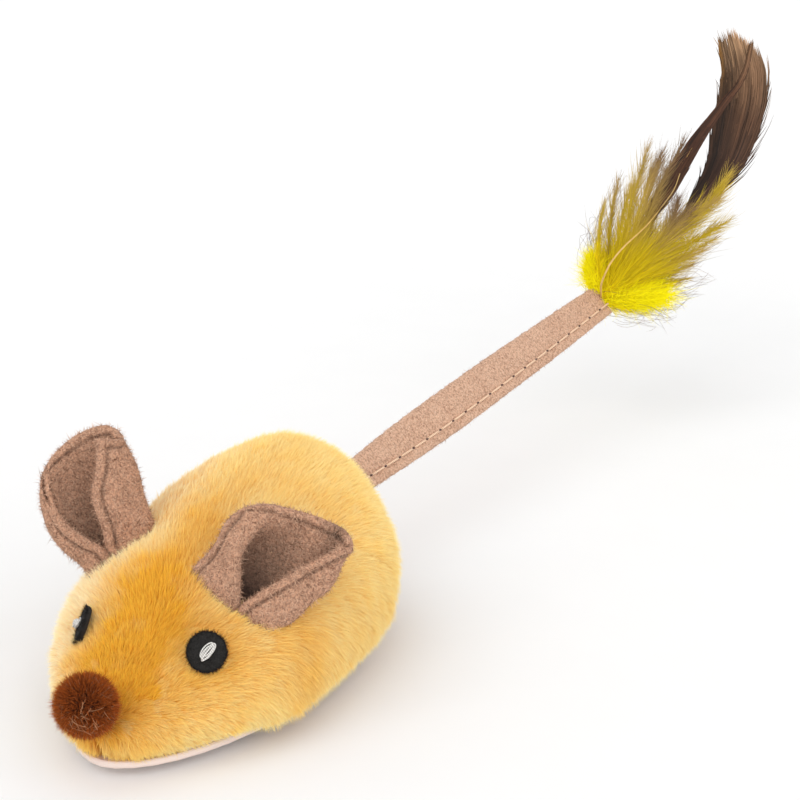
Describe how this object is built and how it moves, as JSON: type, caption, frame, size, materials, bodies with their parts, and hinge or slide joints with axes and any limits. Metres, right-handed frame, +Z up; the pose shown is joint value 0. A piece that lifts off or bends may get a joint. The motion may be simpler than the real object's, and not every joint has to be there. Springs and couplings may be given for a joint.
{
  "type": "robotic mouse cat toy",
  "caption": "Plush mouse on a small motor-driven two-wheeled chassis with a caster, suede ears, pompom nose and a flexible strap tail that ends in feathers.",
  "frame": {"origin": "middle of the flat recess in the underside of the sole, between the wheels", "axes": "+Z up, -Y towards the nose, +X towards the mouse's own left, so the tail leaves along +Y"},
  "size_m": [0.0693, 0.3225, 0.0989],
  "materials": {
    "golden_plush": "long soft pile, golden",
    "rose_suede": "napped false suede, dusty rose brown",
    "black_felt": "pressed felt, black",
    "white_thread": "twisted sewing thread",
    "brown_pompom": "clipped wiry pile, rust brown",
    "yellow_marabou": "loose downy feather, yellow",
    "golden_quill": "smooth quill, golden",
    "brown_feather": "long soft feather, dark brown",
    "blush_plastic": "moulded, pale",
    "white_nylon": "moulded gear plastic",
    "black_plastic": "moulded, black",
    "black_rubber": "ribbed, matte",
    "bright_steel": "drawn and plated",
    "green_board": "solder mask over glass laminate",
    "silver_pouch": "laminated foil pouch",
    "black_foam": "foam tape",
    "red_lens": "clear tinted lens",
    "red_insulation": "soft lead insulation",
    "black_insulation": "soft lead insulation"
  },
  "bodies": {
    "mouse": {"base_shell": "blush_plastic", "battery": "silver_pouch", "battery_lead_black": "black_insulation", "battery_lead_red": "red_insulation", "battery_pad": "black_foam", "board_screw_1": "bright_steel", "board_screw_2": "bright_steel", "case_screw_1": "bright_steel", "case_screw_2": "bright_steel", "case_screw_3": "bright_steel", "case_screw_4": "bright_steel", "charge_socket": "bright_steel", "circuit_board": "green_board", "ear_left": "rose_suede", "ear_right": "rose_suede", "eye_left": "black_felt", "eye_right": "black_felt", "eye_stitch_left": "white_thread", "eye_stitch_right": "white_thread", "gearbox_plate_left": "black_plastic", "gearbox_plate_right": "black_plastic", "idler_shaft_left": "bright_steel", "idler_shaft_right": "bright_steel", "motor_lead_left": "red_insulation", "motor_lead_right": "black_insulation", "motor_left": "bright_steel", "motor_right": "bright_steel", "nose_pompom": "brown_pompom", "plate_screw_left": "bright_steel", "plate_screw_right": "bright_steel", "plush_body": "golden_plush", "power_switch": "bright_steel", "status_led": "red_lens", "tail_tab": "rose_suede", "top_shell": "blush_plastic"},
    "left_wheel": {"axle_left": "bright_steel", "wheel_left": "black_plastic", "tyre_left": "black_rubber", "wheel_gear_left": "white_nylon"},
    "right_wheel": {"axle_right": "bright_steel", "wheel_right": "black_plastic", "tyre_right": "black_rubber", "wheel_gear_right": "white_nylon"},
    "left_idler": {"idler_gear_left": "white_nylon"},
    "right_idler": {"idler_gear_right": "white_nylon"},
    "left_pinion": {"motor_shaft_left": "bright_steel", "motor_pinion_left": "white_nylon"},
    "right_pinion": {"motor_shaft_right": "bright_steel", "motor_pinion_right": "white_nylon"},
    "caster_swivel": {"caster_fork": "black_plastic", "caster_pin": "bright_steel"},
    "caster_roller": {"caster_wheel": "black_plastic"},
    "knob": {"switch_knob": "black_plastic"},
    "tail_root": {"tail_link": "rose_suede"},
    "tail": {"tail_strap": "rose_suede"},
    "feathers": {"marabou_fluff": "yellow_marabou", "feather_quill": "golden_quill", "brown_feather_long": "brown_feather", "brown_feather_short": "brown_feather"}
  },
  "joints": [
    {"name": "left_wheel_spin", "type": "hinge", "parent": "mouse", "child": "left_wheel", "pos_m": [0.0192, 0.008, 0.008], "axis": [1, 0, 0], "continuous": true},
    {"name": "left_idler_spin", "type": "hinge", "parent": "mouse", "child": "left_idler", "pos_m": [0.0138, 0.00318, 0.01375], "axis": [1, 0, 0], "continuous": true},
    {"name": "left_pinion_spin", "type": "hinge", "parent": "mouse", "child": "left_pinion", "pos_m": [0.013, -0.00421, 0.01244], "axis": [1, 0, 0], "continuous": true},
    {"name": "right_wheel_spin", "type": "hinge", "parent": "mouse", "child": "right_wheel", "pos_m": [-0.0192, 0.008, 0.008], "axis": [1, 0, 0], "continuous": true},
    {"name": "right_idler_spin", "type": "hinge", "parent": "mouse", "child": "right_idler", "pos_m": [-0.0138, 0.00318, 0.01375], "axis": [1, 0, 0], "continuous": true},
    {"name": "right_pinion_spin", "type": "hinge", "parent": "mouse", "child": "right_pinion", "pos_m": [-0.013, -0.00421, 0.01244], "axis": [1, 0, 0], "continuous": true},
    {"name": "caster_swivel_spin", "type": "hinge", "parent": "mouse", "child": "caster_swivel", "pos_m": [0, -0.028, 0.006], "axis": [0, 0, 1], "continuous": true},
    {"name": "caster_roller_spin", "type": "hinge", "parent": "caster_swivel", "child": "caster_roller", "pos_m": [0, -0.025, 0.001], "axis": [1, 0, 0], "continuous": true},
    {"name": "power_switch_slide", "type": "slide", "parent": "mouse", "child": "knob", "axis": [1, 0, 0], "range_m": [0, 0.0024]},
    {"name": "tail_swing", "type": "hinge", "parent": "mouse", "child": "tail_root", "pos_m": [0, 0.0525, 0.02], "axis": [0, 0, 1], "range_deg": [-40, 40], "stiffness_Nm_per_rad": 0.1},
    {"name": "tail_lift", "type": "hinge", "parent": "tail_root", "child": "tail", "pos_m": [0.00128, 0.06115, 0.02097], "axis": [0.9893, -0.1461, 0], "range_deg": [-12, 60], "stiffness_Nm_per_rad": 0.1},
    {"name": "feather_sway", "type": "hinge", "parent": "tail", "child": "feathers", "pos_m": [0.01861, 0.17851, 0.03406], "axis": [0.9893, -0.1461, 0], "range_deg": [-20, 20], "stiffness_Nm_per_rad": 0.03}
  ],
  "couplings": [
    {"joint": "left_idler_spin", "follows": "left_wheel_spin", "ratio": -2.75},
    {"joint": "left_pinion_spin", "follows": "left_wheel_spin", "ratio": 7.5625},
    {"joint": "right_idler_spin", "follows": "right_wheel_spin", "ratio": -2.75},
    {"joint": "right_pinion_spin", "follows": "right_wheel_spin", "ratio": 7.5625}
  ]
}
